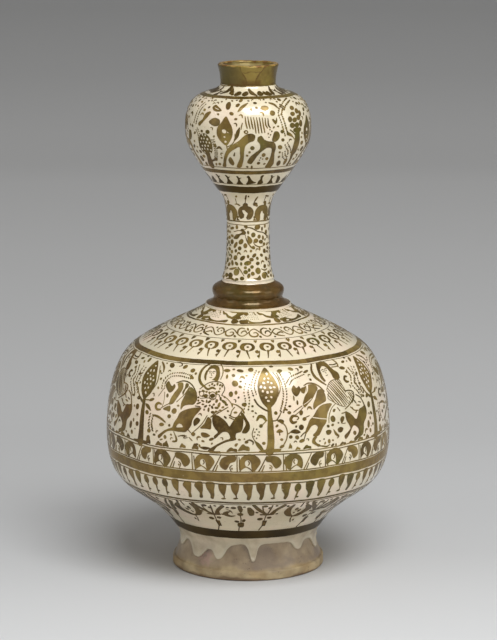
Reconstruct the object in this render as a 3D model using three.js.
// A tall lustre-painted bottle: a round body on a turned foot, a collared neck and a bulb under the mouth.
// It is made as a potter makes it, in thrown sections that are luted together one on the other.
// Millimetres, +Z up. The origin is the middle of the base, and angle 0 is the front, towards -Y.
import * as THREE from 'three';

// How the sections meet: a flat seat with a low tongue on its inner side, and a little slip around it
const tongueWidth = 2;
const tongueHeight = 3;
const slipGap = 0.3;

// Foot ring
const footHeight = 28;
const footBaseRadius = 57.2;
const footMouldingHeight = 7.5;
const footMouldingRound = 1.6;
const footLedge = 1.7;
const footHollow = 3;
const footTopRadius = 52;
const footBoreRadius = 43.5;
const footBoreFlare = 3;
const bossHeight = 3;

// Body, thrown in two halves that meet at the belly
const bellyRadius = 106.7;
const bowlHeight = 76;
const domeHeight = 95;
const shoulderInset = 21.3;
const shoulderBelowSeat = 29;
const collarSeatRadius = 32.6;
const shoulderHoleRadius = 20;
const bodyWall = 6.5;
const floorThickness = 8;

// Moulded collar round the root of the neck
const collarHeight = 21;
const collarSkirtInset = 0.6;
const collarSkirtLip = 1.8;
const collarWaistRadius = 25.6;
const collarWaistHeight = 6.8;

// Neck
const neckHeight = 63;
const neckRootRadius = 19.7;
const neckWaistRadius = 16;
const neckWaistBelowTop = 25;
const neckTopRadius = 20.4;
const neckWall = 5;

// Bulb, thrown in two halves, and the mouth on it
const bulbRadius = 46.7;
const bulbCupHeight = 51;
const bulbCapHeight = 31;
const bulbWall = 5;
const mouthHeight = 15;
const mouthRootRadius = 20.4;
const mouthRimRadius = 22.5;
const mouthWall = 4;
const mouthRimRound = 1.4;

// Glaze that has run down over the bare foot: its thickness, where it starts and how low it hangs between runs
const glazeThickness = 0.9;
const glazeStartAboveFoot = 10;
const glazeHangBelowFoot = 2.5;
const glazeWave = 1.3;
// Each run: angle from the front in degrees, half its width in degrees, and how far it runs down in mm
const glazeRuns = [
  [-72, 4, 6], [-45, 7.5, 14], [-23, 3.5, 10.5], [3.5, 2.6, 15], [46, 5, 11], [73, 2.6, 16],
  [98, 5, 8], [121, 3, 14], [148, 7, 10], [171, 3, 13], [-167, 5.5, 9], [-141, 2.6, 15], [-112, 6, 11],
];

// Heights of the joints, from the ground up
const bellyZ = footHeight + bowlHeight;
const collarZ = bellyZ + domeHeight;
const neckZ = collarZ + collarHeight;
const bulbZ = neckZ + neckHeight;
const bulbMiddleZ = bulbZ + bulbCupHeight;
const mouthZ = bulbMiddleZ + bulbCapHeight;
const topZ = mouthZ + mouthHeight;
const glazeTopZ = footHeight + glazeStartAboveFoot;

// What a glaze coat adds to the bare radius, with the gap that is kept under it
const glazeBuild = glazeThickness + slipGap;

// Steps round the wide pieces, the slender pieces and the run glaze
const wideSteps = 40;
const slenderSteps = 28;
const glazeSteps = 132;

const point = (radius, height) => new THREE.Vector2(radius, height);

// Part of an outline: a curve from one point to another. Each handle is two shares, of the change in
// radius and of the change in height, so that the curve keeps its character when a size changes.
function outline(start, end, startShares, endShares, steps) {
  const span = end.clone().sub(start);
  const curve = new THREE.CubicBezierCurve(
    start,
    point(start.x + startShares[0] * span.x, start.y + startShares[1] * span.y),
    point(end.x - endShares[0] * span.x, end.y - endShares[1] * span.y),
    end,
  );
  return curve.getPoints(steps);
}

// The inside face of a wall of even thickness behind an outline that runs upwards
function insideFace(points, wall) {
  return points.map((here, i) => {
    const before = points[Math.max(i - 1, 0)];
    const after = points[Math.min(i + 1, points.length - 1)];
    const along = after.clone().sub(before).normalize();
    return point(here.x - along.y * wall, here.y + along.x * wall);
  });
}

// Only the points of a face that lie between two heights
const between = (points, low, high) => points.filter((p) => p.y > low && p.y < high);

// Radius of an outline at a height
function radiusAt(points, height) {
  const i = points.findIndex((p) => p.y >= height);
  if (i <= 0) return points[i === 0 ? 0 : points.length - 1].x;
  const share = (height - points[i - 1].y) / (points[i].y - points[i - 1].y);
  return THREE.MathUtils.lerp(points[i - 1].x, points[i].x, share);
}

// The top of a section, from the outside in: a flat seat, then the tongue that centres the next section
function seatWithTongue(outerRadius, innerRadius, height) {
  const tongue = innerRadius + tongueWidth;
  return [
    point(outerRadius, height),
    point(tongue, height),
    point(tongue, height + tongueHeight),
    point(innerRadius, height + tongueHeight),
  ];
}

// The underside that fits over such a tongue, from the inside out
function rebateOverTongue(innerRadius, outerRadius, height) {
  const rebate = innerRadius + tongueWidth + slipGap;
  return [
    point(innerRadius, height + tongueHeight + slipGap),
    point(rebate, height + tongueHeight + slipGap),
    point(rebate, height),
    point(outerRadius, height),
  ];
}

// Where the inside face of a section that stands over a tongue can start
const aboveRebate = (height) => height + tongueHeight + 2 * slipGap;

// A quarter round between two points of an outline
function quarterRound(centre, radius, fromDegrees, toDegrees) {
  const from = THREE.MathUtils.degToRad(fromDegrees);
  const to = THREE.MathUtils.degToRad(toDegrees);
  return new THREE.EllipseCurve(centre.x, centre.y, radius, radius, from, to, to < from).getPoints(3);
}

// Turns a section about the bottle's axis. A ring's section comes back to its first point.
function turned(name, section, steps, material) {
  const points = section.filter((p, i) => i === 0 || p.distanceTo(section[i - 1]) > 0.001);
  const onAxis = points[0].x === 0 && points[points.length - 1].x === 0;
  if (!onAxis && points[0].distanceTo(points[points.length - 1]) > 0.001) points.push(points[0].clone());
  const geometry = new THREE.LatheGeometry(points, steps);
  geometry.rotateX(Math.PI / 2);
  const mesh = new THREE.Mesh(geometry, material);
  mesh.name = name;
  return mesh;
}

// Finishes: bare fired body, cream glaze with brown lustre over it, and the solid lustre of the mouth
const bareBody = new THREE.MeshStandardMaterial({ color: 0xa8957a, roughness: 0.7, metalness: 0 });
const paintedGlaze = new THREE.MeshStandardMaterial({ color: 0xded2b9, roughness: 0.25, metalness: 0 });
const lustreGlaze = new THREE.MeshStandardMaterial({ color: 0x6f5a2c, roughness: 0.3, metalness: 0.2 });

// Foot: a stout base moulding, a ledge, and one hollow curve up to the bowl
const footWallHeight = footHeight - footMouldingHeight;
const footOutline = new THREE.CubicBezierCurve(
  point(footBaseRadius - footLedge, footMouldingHeight),
  point(footBaseRadius - footLedge - 0.8 * footHollow, footMouldingHeight + 0.27 * footWallHeight),
  point(footTopRadius - footHollow, footHeight - 0.2 * footWallHeight),
  point(footTopRadius, footHeight),
).getPoints(8);

function footRing() {
  const roundCentre = point(footBaseRadius - footMouldingRound, footMouldingHeight - footMouldingRound);
  const section = [
    point(footBaseRadius - 1, 0),
    point(footBaseRadius, 1),
    ...quarterRound(roundCentre, footMouldingRound, 0, 90),
    ...footOutline,
    point(footBoreRadius, footHeight),
    point(footBoreRadius, footHeight - bossHeight),
    point(footBoreRadius + footBoreFlare, 0),
    point(footBaseRadius - 1, 0),
  ];
  return turned('foot_ring', section, wideSteps, bareBody);
}

// Outline of the bowl in its glaze, from the foot to the belly
const bowlOutline = outline(
  point(footTopRadius + glazeBuild, footHeight), point(bellyRadius, bellyZ), [0.49, 0.555], [0, 0.657], 11,
);

// Bowl: it stands on the foot ring, and a low boss under its floor centres it there. Below the
// glaze line it is bare, and so thinner than the outline by the glaze.
function lowerBody() {
  const inner = between(insideFace(bowlOutline, bodyWall), footHeight + floorThickness, bellyZ - 1).reverse();
  const floorZ = footHeight - bossHeight + floorThickness;
  const lowest = inner[inner.length - 1];
  const floor = new THREE.QuadraticBezierCurve(
    lowest, point(lowest.x - bodyWall, floorZ), point(lowest.x * 0.6, floorZ),
  );
  const bareOutline = bowlOutline
    .filter((p) => p.y < glazeTopZ - 0.5)
    .map((p) => point(p.x - glazeBuild, p.y));
  const glazeEdge = radiusAt(bowlOutline, glazeTopZ);
  const section = [
    point(0, footHeight - bossHeight),
    point(footBoreRadius - slipGap, footHeight - bossHeight),
    point(footBoreRadius - slipGap, footHeight),
    ...bareOutline,
    point(glazeEdge - glazeBuild, glazeTopZ),
    point(glazeEdge, glazeTopZ),
    ...between(bowlOutline, glazeTopZ + 0.5, bellyZ - 0.5),
    ...seatWithTongue(bellyRadius, bellyRadius - bodyWall, bellyZ),
    ...inner,
    ...floor.getPoints(3),
    point(0, floorZ),
  ];
  return turned('lower_body', section, wideSteps, paintedGlaze);
}

// Dome: a full shoulder that closes to the hole under the neck
const shoulder = point(bellyRadius - shoulderInset, collarZ - shoulderBelowSeat);
const domeOutline = [
  ...outline(point(bellyRadius, bellyZ), shoulder, [0, 0.1], [1, 0.224], 7),
  ...outline(shoulder, point(collarSeatRadius, collarZ), [0.367, 0.466], [0.14, 0.207], 6).slice(1),
];

function upperBody() {
  const face = insideFace(domeOutline, bodyWall);
  const inner = between(face, aboveRebate(bellyZ), collarZ - bodyWall)
    .filter((p) => p.x > shoulderHoleRadius + 1)
    .reverse();
  const section = [
    ...domeOutline,
    ...seatWithTongue(collarSeatRadius, shoulderHoleRadius, collarZ),
    point(shoulderHoleRadius, inner[0].y),
    ...inner,
    ...rebateOverTongue(bellyRadius - bodyWall, bellyRadius, bellyZ),
  ];
  return turned('upper_body', section, wideSteps, paintedGlaze);
}

// Collar: a skirt with a lip on the shoulder, a hollow above it, and a fat bead under the neck
function neckCollar() {
  const skirtRadius = collarSeatRadius - collarSkirtInset;
  const lip = point(skirtRadius, collarZ + collarSkirtLip);
  const waist = point(collarWaistRadius, collarZ + collarWaistHeight);
  const root = point(neckRootRadius, neckZ);
  const bore = neckRootRadius - neckWall;
  const section = [
    point(skirtRadius, collarZ),
    lip,
    ...outline(point(lip.x - 1, lip.y), waist, [0.7, 0.2], [0, 0.35], 4),
    ...outline(waist, root, [-0.95, 0.8], [-0.42, 0.43], 7),
    ...seatWithTongue(neckRootRadius, bore, neckZ),
    point(bore, neckZ),
    ...rebateOverTongue(shoulderHoleRadius, skirtRadius, collarZ),
  ];
  return turned('neck_collar', section, slenderSteps, paintedGlaze);
}

// Neck: drawn in above its root, nearly straight, and flared again under the bulb
const neckWaist = point(neckWaistRadius, bulbZ - neckWaistBelowTop);
const neckOutline = [
  ...outline(point(neckRootRadius, neckZ), neckWaist, [0.65, 0.1], [0, 0.6], 5),
  ...outline(neckWaist, point(neckTopRadius, bulbZ), [0, 0.55], [0.72, 0.16], 4).slice(1),
];

function neckTube() {
  const inner = between(insideFace(neckOutline, neckWall), aboveRebate(neckZ), bulbZ - 1).reverse();
  const section = [
    ...neckOutline,
    ...seatWithTongue(neckTopRadius, neckTopRadius - neckWall, bulbZ),
    ...inner,
    ...rebateOverTongue(neckRootRadius - neckWall, neckRootRadius, neckZ),
  ];
  return turned('neck_tube', section, slenderSteps, paintedGlaze);
}

// Bulb: a cup that opens off the neck like a pear, and a cap that closes quickly to the mouth
const cupOutline = outline(
  point(neckTopRadius, bulbZ), point(bulbRadius, bulbMiddleZ), [0.954, 0.688], [0, 0.2725], 8,
);
const capOutline = outline(
  point(bulbRadius, bulbMiddleZ), point(mouthRootRadius, mouthZ), [0, 0.993], [0.108, 0.298], 9,
);

function bulbCup() {
  const inner = between(insideFace(cupOutline, bulbWall), aboveRebate(bulbZ) + 1, bulbMiddleZ - 1)
    .filter((p) => p.x > neckTopRadius - neckWall)
    .reverse();
  const section = [
    ...cupOutline,
    ...seatWithTongue(bulbRadius, bulbRadius - bulbWall, bulbMiddleZ),
    ...inner,
    ...rebateOverTongue(neckTopRadius - neckWall, neckTopRadius, bulbZ),
  ];
  return turned('bulb_cup', section, slenderSteps, paintedGlaze);
}

function bulbCap() {
  const bore = mouthRootRadius - mouthWall;
  const inner = between(insideFace(capOutline, bulbWall), aboveRebate(bulbMiddleZ), mouthZ - 1)
    .filter((p) => p.x > bore)
    .reverse();
  const section = [
    ...capOutline,
    ...seatWithTongue(mouthRootRadius, bore, mouthZ),
    point(bore, inner[0].y),
    ...inner,
    ...rebateOverTongue(bulbRadius - bulbWall, bulbRadius, bulbMiddleZ),
  ];
  return turned('bulb_cap', section, slenderSteps, paintedGlaze);
}

// Mouth: a short flared collar with a soft lip
function mouthRim() {
  const lipZ = topZ - mouthRimRound;
  const mouthOutline = outline(point(mouthRootRadius, mouthZ), point(mouthRimRadius, lipZ), [0, 0.45], [0.5, 0.3], 5);
  const inner = between(insideFace(mouthOutline, mouthWall), aboveRebate(mouthZ), lipZ - 0.5).reverse();
  const lipCentre = mouthRimRadius - mouthRimRound;
  const lipInside = mouthRimRadius - mouthWall + mouthRimRound;
  const section = [
    ...mouthOutline,
    ...quarterRound(point(lipCentre, lipZ), mouthRimRound, 0, 90),
    ...quarterRound(point(lipInside, lipZ), mouthRimRound, 90, 180),
    ...inner,
    ...rebateOverTongue(mouthRootRadius - mouthWall, mouthRootRadius, mouthZ),
  ];
  return turned('mouth_rim', section, slenderSteps, lustreGlaze);
}

// How low the glaze hangs at an angle from the front, in degrees
function glazeEdgeZ(angle) {
  const radians = THREE.MathUtils.degToRad(angle);
  let edge = footHeight - glazeHangBelowFoot;
  edge += glazeWave * (Math.sin(3 * radians + 0.7) + 0.6 * Math.sin(7 * radians + 2));
  for (const [at, halfWidth, length] of glazeRuns) {
    const away = Math.abs(THREE.MathUtils.euclideanModulo(angle - at + 180, 360) - 180) / halfWidth;
    edge -= length / (1 + away ** 4);
  }
  return Math.max(edge, footMouldingHeight + 1);
}

// The thick lower edge of the glaze, a skin over the bowl and foot. It is turned as a plain band
// with heights 1 at the foot's top and 0 at the edge, and each point then goes to its own place.
function glazeEdge() {
  const rows = [0, 0.2, 0.6, 1, 2];
  const band = turned(
    'glaze_edge',
    [...rows.map((row) => point(2, row)), ...rows.map((row) => point(1, row)).reverse()],
    glazeSteps,
    paintedGlaze,
  );
  const bareFoot = [...footOutline, ...bowlOutline.slice(1).map((p) => point(p.x - glazeBuild, p.y))];
  const place = band.geometry.attributes.position;
  for (let i = 0; i < place.count; i += 1) {
    const turn = Math.atan2(place.getX(i), -place.getY(i));
    const outside = Math.hypot(place.getX(i), place.getY(i)) > 1.5;
    const low = glazeEdgeZ(THREE.MathUtils.radToDeg(turn));
    const row = place.getZ(i);
    const height = row > 1.5 ? glazeTopZ : THREE.MathUtils.lerp(low, footHeight, row);
    const radius = radiusAt(bareFoot, height) + slipGap + (outside ? glazeThickness : 0);
    place.setXYZ(i, radius * Math.sin(turn), -radius * Math.cos(turn), height);
  }
  return band;
}

const group = new THREE.Group();
group.name = 'bottle';
group.add(
  footRing(), lowerBody(), upperBody(), neckCollar(), neckTube(), bulbCup(), bulbCap(), mouthRim(), glazeEdge(),
);

export default group;
